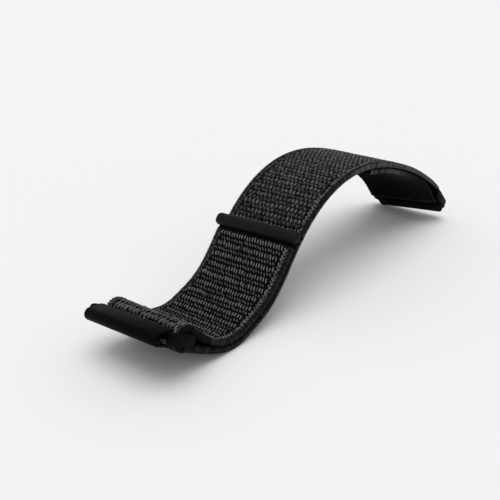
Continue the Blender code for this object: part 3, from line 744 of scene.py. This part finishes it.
def side_ribs(start, end):
    """Ribs that stand upright round both edges: painted shade keeps them dark, and painted light
    makes them paler over the crest than in the dip.
    """
    spots = []
    for along in np.arange(start, end, RIB_PITCH):
        if along > MAIN_END:
            paler = TAIL_SIDE_PAINTED_LIGHT_SHARE * eased(along, TAIL_SIDE_PAINTED_LIGHT) - TAIL_SIDE_PAINTED_SHADE
        else:
            paler = eased(along, SIDE_PAINTED_LIGHT_OVER) - FOLD_SIDE_PAINTED_SHADE * (along < LEFT_FOLD)
        spots += ribs_at_edges(SIDE_RIB, along, SIDE_OUT, 0.0, SIDE_PAINTED_SHADE + SIDE_PAINTED_LIGHT_BY * paler,
                               SIDE_SLANT_VARIES, SIDE_SHADE_VARIES)
    return spots


# The faces of the webbing

FLAP_END = TAB_AT - TAB_LENGTH / 4
FLAP_COVERS = LEFT_FOLD + 41 * MM
PRESSED_FROM = 40.7 * MM
FIELD = 8.35 * MM

COARSE_ROW = 2.48 * MM
COARSE_PITCH = 1.13 * MM
COARSE_DRIFT = 0.45 * MM
LOOP_CROSS_ASIDE = 0.55 * MM
GROUND_LEG_ON = 1.26 * MM
GROUND_LEG_ASIDE = 0.33 * MM
GROUND_CROSS_ON = 1.22 * MM
GROUND_CROSS_ASIDE = 0.86 * MM
GROUND_SHADE = 1.1

# The weave opens beyond the flap, and painted light makes its ground paler over the crest
OPENS_OVER = (FLAP_COVERS + 3 * MM, 6 * MM)
OPEN_SHARE = 0.75
OPEN_DRIFT = 0.12 * MM
OPEN_ASIDE = 0.28 * MM
CREST_PAINTED_LIGHT_OVER = (LEFT_FOLD + 56 * MM, 7 * MM)
GROUND_PAINTED_LIGHT = 0.3


def coarse_face(start, end, above, shade):
    """Rows of open V loops on a low crossed ground, as on the band's outer face."""
    loops, ground = [], []
    for row, along in enumerate(np.arange(start, end, COARSE_ROW)):
        opened = OPEN_SHARE * eased(along, OPENS_OVER)
        shift = (COARSE_DRIFT if opened == 0 else OPEN_DRIFT) * row
        ground_shift = shift + OPEN_ASIDE * opened
        # Painted light makes the ground paler over the crest
        ground_shade = shade * (GROUND_SHADE + GROUND_PAINTED_LIGHT * eased(along, CREST_PAINTED_LIGHT_OVER))
        loops += row_of(between(LOOP_LEG, OPEN_LOOP_LEG, opened), along,
                        COARSE_PITCH, FIELD, shift, above, shade)
        loops += row_of(between(LOOP_CROSS, OPEN_LOOP_CROSS, opened), along,
                        COARSE_PITCH, FIELD, shift + LOOP_CROSS_ASIDE, above, shade)
        ground += row_of(between(GROUND_LEG, OPEN_GROUND_LEG, opened), along + GROUND_LEG_ON,
                         COARSE_PITCH, FIELD, ground_shift + GROUND_LEG_ASIDE, above,
                         ground_shade)
        ground += row_of(between(GROUND_CROSS, OPEN_GROUND_CROSS, opened),
                         along + GROUND_CROSS_ON, COARSE_PITCH, FIELD,
                         ground_shift + GROUND_CROSS_ASIDE, above, shade)
    return loops, ground


DASH_ROW = 2.75 * MM
DASH_PITCH = 0.755 * MM
DASH_DRIFT = 0.37 * MM
DASH_FIELD = FIELD + 0.1 * MM
DASH_GROUND_ON = 1.36 * MM
DASH_GROUND_ASIDE = 0.4 * MM


def rowed_face(start, end, above, shade):
    """Rows of long dashes with a low crossed ground between them, as on the flap."""
    loops, ground = [], []
    for row, along in enumerate(np.arange(start, end, DASH_ROW)):
        shift = DASH_DRIFT * row
        loops += row_of(DASH, along, DASH_PITCH, DASH_FIELD, shift, above, shade)
        ground += row_of(DASH_GROUND, along + DASH_GROUND_ON, DASH_PITCH, FIELD,
                         shift + DASH_GROUND_ASIDE, above, shade)
    return loops, ground


COLUMN_OUT = 9.62 * MM
COLUMN_SHADE = 0.62
FAR_COLUMN_DARKER = 0.2
SELVEDGE_SHADE = 0.3


def edges_of(start, end, above, shade):
    """The chains at both edges, paler on the near side, and the selvedges outside them."""
    columns = []
    for side in (-1, 1):
        columns += chain(start, end, side * COLUMN_OUT, above,
                         shade * (COLUMN_SHADE - FAR_COLUMN_DARKER * side))
    return columns, selvedge(start, end, above, shade * SELVEDGE_SHADE)


FOLD_LONGER = 1.2
FOLD_WIDER = 1.12


def stretched(spots, lower=1.0):
    """Stitches over the left fold, longer and wider than elsewhere."""
    spots = np.array(spots)
    spots[:, LENGTH] *= FOLD_LONGER
    spots[:, WIDTH] *= FOLD_WIDER
    spots[:, HEIGHT] *= lower
    return spots


PILE_ROW = 1.24 * MM
PILE_PITCH = 0.565 * MM
PILE_FIELD = 10.2 * MM
PILE_DRIFT = 0.3


def pile_rows(stitch, start, end, above):
    """Rows of short loops, each row a little further across than the one before."""
    spots = []
    for along in np.arange(start, end, PILE_ROW):
        spots += row_of(stitch, along, PILE_PITCH, PILE_FIELD, PILE_DRIFT * along, above)
    return spots


# The band

BAND_SHADE = 0.62
BAND_EDGE_SHADE = 0.66
BAND_ROWS_START = FLAP_COVERS + 1.6 * MM
TURNS_UNDER = (MAIN_END + 1 * MM, 2.5 * MM)
UNDER_PAINTED_SHADE = 0.85


def in_shade(spots):
    """Painted shade: the yarn is darker where the band turns under at the right end."""
    spots = np.array(spots)
    spots[:, SHADE] *= 1 - UNDER_PAINTED_SHADE * eased(spots[:, ALONG], TURNS_UNDER)
    return spots


def band_face():
    """The band's outer face, from under the flap over the crest and round the right fold."""
    loops, ground = coarse_face(BAND_ROWS_START, TAIL_START, FACE, BAND_SHADE)
    columns, ribs = edges_of(FLAP_COVERS, TAIL_START, FACE, BAND_EDGE_SHADE)
    return (spread("band_face_loops", BAND, in_shade(loops + columns), LOOP_STITCH, YARN),
            spread("band_face_ground", BAND, in_shade(ground + ribs), FINE_STITCH, GROUND_YARN))


FOLD_EDGE_SHADE = 0.72
FOLD_ROWS_START = 0.9 * MM
FOLD_EDGES_START = 0.3 * MM
FOLD_LOWER = 0.75
FOLD_PAINTED_SHADE_OVER = (2.5 * MM, 2 * MM)
FOLD_PAINTED_SHADE_BY = 0.7


def left_fold_face():
    """The left fold's outer face, with painted shade that makes it darker where it turns under."""
    loops, ground = coarse_face(FOLD_ROWS_START, LEFT_FOLD, -FACE, BAND_SHADE)
    columns, ribs = edges_of(FOLD_EDGES_START, LEFT_FOLD, -FACE, FOLD_EDGE_SHADE)
    fold = stretched(loops + columns + ground + ribs, lower=FOLD_LOWER)
    fold[:, SHADE] *= 1 - FOLD_PAINTED_SHADE_BY * eased(fold[:, ALONG], FOLD_PAINTED_SHADE_OVER)
    return spread("fold_face_loops", BAND, fold, FINE_STITCH, YARN)


HOOKED_STRETCH = (LEFT_FOLD + 0.6 * MM, FLAP_COVERS + 1.2 * MM)
TAIL_STRETCH = (TAIL_START, BAND.length - 0.9 * MM)
WRIST_STRETCH = (LEFT_FOLD + 0.4 * MM, MAIN_END - TAIL_LENGTH + 1.5 * MM)
PILE_PAINTED_LIGHT_NEAR = 1.25
PILE_PAINTED_SHADE_ACROSS = (-9 * MM, 14 * MM)
TAIL_PAINTED_SHADE_CLEARS = (TAIL_START, 34 * MM)
TAIL_PAINTED_SHADE_BY = 0.6


def band_pile():
    """The pile that the hooks take hold of, the tail's face and the wrist's side, with painted
    light and shade.
    """
    hooked = pile_rows(HOOKED_PILE, *HOOKED_STRETCH, FACE)
    tail = pile_rows(TAIL_PILE, *TAIL_STRETCH, FACE)
    wrist = pile_rows(WRIST_PILE, *WRIST_STRETCH, -FACE)
    pile = np.array(hooked + tail + wrist)
    along = pile[:, ALONG]
    # Painted light on the near side of the pile and painted shade towards its far side
    pile[:, SHADE] *= PILE_PAINTED_LIGHT_NEAR - eased(pile[:, ACROSS], PILE_PAINTED_SHADE_ACROSS)
    # Painted shade on the tail's pile near the right fold, clearing further along the tail
    pile[:, SHADE] *= 1 - TAIL_PAINTED_SHADE_BY * (along > MAIN_END) * (1 - eased(along, TAIL_PAINTED_SHADE_CLEARS))
    return spread("band_inner_pile", BAND, pile, PLAIN_STITCH, INNER_YARN)


BAND_SIDES = (0.3 * MM, BAND.length - 0.4 * MM)


def band_sides():
    return spread("band_side_ribs", BAND, side_ribs(*BAND_SIDES), FINE_STITCH, GROUND_YARN,
                  dive=0.0)


SEAM_FROM_END = (2.0 * MM, 3.6 * MM)
SEAM_PITCH = 1.3 * MM
SEAM_REACH = 9.8 * MM
SEAM_LIFT = 0.08 * MM


def tail_seam():
    """Two rows of lockstitch that hold the tail's end."""
    seam = []
    for from_end in SEAM_FROM_END:
        seam += row_of(SEAM_STITCH, BAND.length - from_end, SEAM_PITCH, SEAM_REACH, 0.0,
                       FACE + SEAM_LIFT)
    return spread("tail_seam", BAND, seam, LOOP_STITCH, YARN, dive=0.0)


band_core = strip("band_core", BAND, 0.0, BAND.length, CORE_WIDTH, CORE_THICKNESS, CORE,
                  joined=True)
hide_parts("strap_band")
flap_core = strip("flap_core", FLAP, 0.0, FLAP_END, CORE_WIDTH, CORE_THICKNESS, CORE,
                  joined=True, pressed_from=PRESSED_FROM)
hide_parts("strap_flap")
for piece in (band_core, *band_face(), left_fold_face(), band_pile(), band_sides(), tail_seam()):
    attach(piece, "strap")


# The flap

FLAP_SHADE = 0.78
OVER_FOLD_SHADE = 0.64
FLAP_EDGE_SHADE = 0.74
OVER_FOLD = (1.6 * MM, 8.6 * MM)
LAST_DASHES = 39.8 * MM
DASH_ROWS_BEFORE = 11
DASHES_END = 40.0 * MM
FLAP_STARTS = 0.8 * MM
FLAP_GROUND_ENDS = PRESSED_FROM - 0.3 * MM
FLAP_EDGES_END = PRESSED_FROM - 0.2 * MM
FLAP_SIDES_END = PRESSED_FROM - 0.1 * MM

TAPE_BEFORE_TAB = 1.12 * MM
TAPE_LENGTH = 14.76 * MM
TAPE_END = TAB_AT - TAB_LENGTH / 2 - TAPE_BEFORE_TAB
TAPE_START = TAPE_END - TAPE_LENGTH
FLAP_PILE_ENDS = TAPE_START - 0.5 * MM


def flap_face():
    """The flap's outer face: rows of dashes, counted back from the tab, and its edges."""
    loops, ground = rowed_face(LAST_DASHES - DASH_ROWS_BEFORE * DASH_ROW, DASHES_END, FACE,
                               FLAP_SHADE)
    ground = [spot for spot in ground if spot[ALONG] < FLAP_GROUND_ENDS]
    over_fold, under_fold = coarse_face(*OVER_FOLD, FACE, OVER_FOLD_SHADE)
    loops += stretched(over_fold).tolist()
    ground += stretched(under_fold).tolist()
    columns, ribs = edges_of(FLAP_STARTS, FLAP_EDGES_END, FACE, FLAP_EDGE_SHADE)
    return (spread("flap_face_loops", FLAP, loops + columns, LOOP_STITCH, YARN),
            spread("flap_face_ground", FLAP, ground + ribs, FINE_STITCH, GROUND_YARN))


def flap_sides():
    return spread("flap_side_ribs", FLAP, side_ribs(FLAP_STARTS, FLAP_SIDES_END),
                  FINE_STITCH, GROUND_YARN, dive=0.0)


def flap_pile():
    """The pile under the flap, as far as the hook tape."""
    pile = pile_rows(UNDER_FLAP_PILE, FLAP_STARTS, FLAP_PILE_ENDS, -FACE)
    return spread("flap_inner_pile", FLAP, pile, PLAIN_STITCH, INNER_YARN)


BENDS_OVER = 5.0 * MM
bend_from = Vector(on_layer(FLAP, np.array(0.0), 0.0, 0.0))
bend_to = Vector(on_layer(FLAP, np.array(BENDS_OVER), 0.0, 0.0))
for piece in (flap_core, *flap_face(), flap_sides(), flap_pile()):
    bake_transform(piece)


# The hook tape under the flap's end

TAPE_WIDTH = 20.0 * MM
TAPE_THICKNESS = 0.12 * MM
TAPE_BELOW = 0.74 * MM
HOOKS_BELOW = TAPE_BELOW + TAPE_THICKNESS / 2
HOOK_REACH = 9.6 * MM
HOOK_PITCH = 0.6 * MM
HOOK_ROW = 0.72 * MM
HOOK_MARGIN = 0.5 * MM
HOOK_SHADE = 0.5


def hook_rows():
    """Rows of hooks on the tape, every other row half a pitch across."""
    spots = []
    rows = np.arange(TAPE_START + HOOK_MARGIN, TAPE_END - HOOK_MARGIN, HOOK_ROW)
    for row, along in enumerate(rows):
        for across in np.arange(-HOOK_REACH + HOOK_PITCH / 2 * (row % 2), HOOK_REACH, HOOK_PITCH):
            spots.append((along, across, 0.0, REAL_SIZE, REAL_SIZE, REAL_SIZE, 0.0, HOOK_SHADE))
    verts, faces = HOOK
    return spread("hook_field", FLAP, spots, (verts + (0, 0, -HOOKS_BELOW), faces), HOOK_NYLON,
                  dive=0.0)


hook_tape = strip("hook_tape", FLAP, TAPE_START, TAPE_END, TAPE_WIDTH, TAPE_THICKNESS,
                  TAPE_NYLON, shift=-TAPE_BELOW)
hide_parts("hook_patch")
for piece in (hook_tape, hook_rows()):
    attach(piece, "flap")


# Mouldings and metal

SMOOTH_BELOW = radians(38)
MERGE_WITHIN = 0.002 * MM
FLAT_WITHIN = radians(1.5)
SOFT_SEGMENTS = 3
SOFT_FROM = radians(35)
TAB_SEGMENTS = 8
TAB_SOFT_FROM = radians(50)
CONNECTOR_EDGE = 0.09 * MM
TIP_EDGE = 0.04 * MM
NO_SOFTENING = 0.0


def finish_piece(made, cad_name, body, finish):
    bpy.ops.object.shade_smooth_by_angle(angle=SMOOTH_BELOW)
    made.data.materials.clear()
    made.data.materials.append(finish)
    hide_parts(cad_name)
    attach(made, body)


def bevelled(made, width, segments, from_angle):
    soft = made.modifiers.new("soft_edges", "BEVEL")
    soft.width = width
    soft.segments = segments
    soft.limit_method = "ANGLE"
    soft.angle_limit = from_angle
    bpy.ops.object.modifier_apply(modifier=soft.name)


def softened_copy(cad_name, name, finish, edge, body):
    """The frame's own shape as one clean surface with its edges softened."""
    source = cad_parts[cad_name]
    deselect()
    made = bpy.data.objects.new(name, source.data.copy())
    bpy.context.scene.collection.objects.link(made)
    bpy.context.view_layer.objects.active = made
    made.select_set(True)
    bpy.ops.object.mode_set(mode="EDIT")
    bpy.ops.mesh.select_all(action="SELECT")
    bpy.ops.mesh.remove_doubles(threshold=MERGE_WITHIN)
    bpy.ops.mesh.dissolve_limited(angle_limit=FLAT_WITHIN)
    bpy.ops.object.mode_set(mode="OBJECT")
    if edge:
        bevelled(made, edge, SOFT_SEGMENTS, SOFT_FROM)
    finish_piece(made, cad_name, body, finish)


def moulded_tab():
    """The pill-shaped bar across the flap's end, fully rounded at its edges and ends."""
    deselect()
    bpy.ops.mesh.primitive_cube_add(size=1.0)
    made = bpy.context.object
    made.name = "tab_moulding"
    bpy.ops.object.mode_set(mode="EDIT")
    bpy.ops.mesh.select_all(action="SELECT")
    bpy.ops.transform.resize(value=(TAB_LENGTH, TAB_WIDTH, TAB_THICKNESS))
    bpy.ops.object.mode_set(mode="OBJECT")
    bevelled(made, TAB_ROUND, TAB_SEGMENTS, TAB_SOFT_FROM)
    rise = TAB_LIFT + TAB_THICKNESS / 2 - FLAP_GAP - WEB_THICKNESS / 2
    middle = FLAP.beside(TAB_AT + TAB_FURTHER, rise)
    run = FLAP.heading(TAB_AT)
    made.location = (middle[0], TAB_ASIDE, middle[1])
    made.rotation_mode = "ZYX"
    made.rotation_euler = (0.0, -atan2(run[1], run[0]), TAB_TURN)
    bpy.ops.object.transform_apply(location=True, rotation=True, scale=False)
    finish_piece(made, "pull_tab", "flap", TAB_PLASTIC)


def connector_and_bar(side):
    """One end's connector, with its spring bar's tube, coil and two tips."""
    softened_copy(side + "_connector", side + "_frame", CONNECTOR_PLASTIC, CONNECTOR_EDGE,
                  side + "_end")
    softened_copy(side + "_spring_tube", side + "_tube", PIN_STEEL, NO_SOFTENING,
                  side + "_end")
    softened_copy(side + "_spring", side + "_coil", SPRING_STEEL, NO_SOFTENING,
                  side + "_end")
    for end in ("near", "far"):
        softened_copy(f"{side}_{end}_tip", f"{side}_{end}_pin", PIN_STEEL, TIP_EDGE,
                      f"{side}_{end}_pin")


moulded_tab()
connector_and_bar("left")
connector_and_bar("right")


# Floor, light and camera

FLOOR_SIZE = 6.0
FLOOR_BELOW = 0.05 * MM
PAPER = (0.93, 0.93, 0.93, 1.0)
WHITE = (1.0, 1.0, 1.0, 1.0)
ROOM_LIGHT = 0.56

# The name, strength, breadth and direction of travel of each broad sun
DIFFUSERS = (
    ("overhead_diffuser", 1.22, radians(52), Vector((0.10, 0.08, -1.0))),
    ("left_diffuser", 0.15, radians(80), Vector((1.0, 0.1, -0.7))),
)

# The camera as it was fitted to the photo
CAMERA_AROUND = radians(-50.532)
CAMERA_ABOVE = radians(23.952)
CAMERA_AT = Vector((-136.831, -95.546, 80.542)) * MM
LENS_LENGTH = 50.19
SENSOR_WIDTH = 36.0
CLIP_START = 0.01
CLIP_END = 20.0


def build_floor():
    deselect()
    bpy.ops.mesh.primitive_plane_add(size=FLOOR_SIZE, location=(0, 0, -FLOOR_BELOW))
    floor = bpy.context.object
    floor.name = "pale_floor"
    paper, _, shader = shader_material("pale_paper", roughness=0.9, Specular_IOR_Level=0.0)
    shader.inputs["Base Color"].default_value = PAPER
    floor.data.materials.append(paper)


def build_light():
    """A soft pale room and two broad suns, one overhead and a weak one from the left."""
    world = bpy.data.worlds.new("soft_room")
    bpy.context.scene.world = world
    world.use_nodes = True
    sky = world.node_tree.nodes["Background"]
    sky.inputs["Color"].default_value = WHITE
    sky.inputs["Strength"].default_value = ROOM_LIGHT
    for name, strength, breadth, travel in DIFFUSERS:
        light = bpy.data.lights.new(name, "SUN")
        light.energy = strength
        light.angle = breadth
        lamp = bpy.data.objects.new(name, light)
        lamp.rotation_euler = travel.to_track_quat("-Z", "Y").to_euler()
        bpy.context.scene.collection.objects.link(lamp)


def build_camera():
    back = Vector((sin(CAMERA_AROUND) * cos(CAMERA_ABOVE),
                   -cos(CAMERA_AROUND) * cos(CAMERA_ABOVE), sin(CAMERA_ABOVE)))
    lens = bpy.data.cameras.new("photo_camera")
    lens.sensor_width = SENSOR_WIDTH
    lens.lens = LENS_LENGTH
    lens.clip_start = CLIP_START
    lens.clip_end = CLIP_END
    camera = bpy.data.objects.new("photo_camera", lens)
    camera.location = CAMERA_AT
    camera.rotation_euler = (-back).to_track_quat("-Z", "Y").to_euler()
    bpy.context.scene.collection.objects.link(camera)
    bpy.context.scene.camera = camera


build_floor()
build_light()
build_camera()
bpy.context.scene.view_settings.view_transform = "Standard"
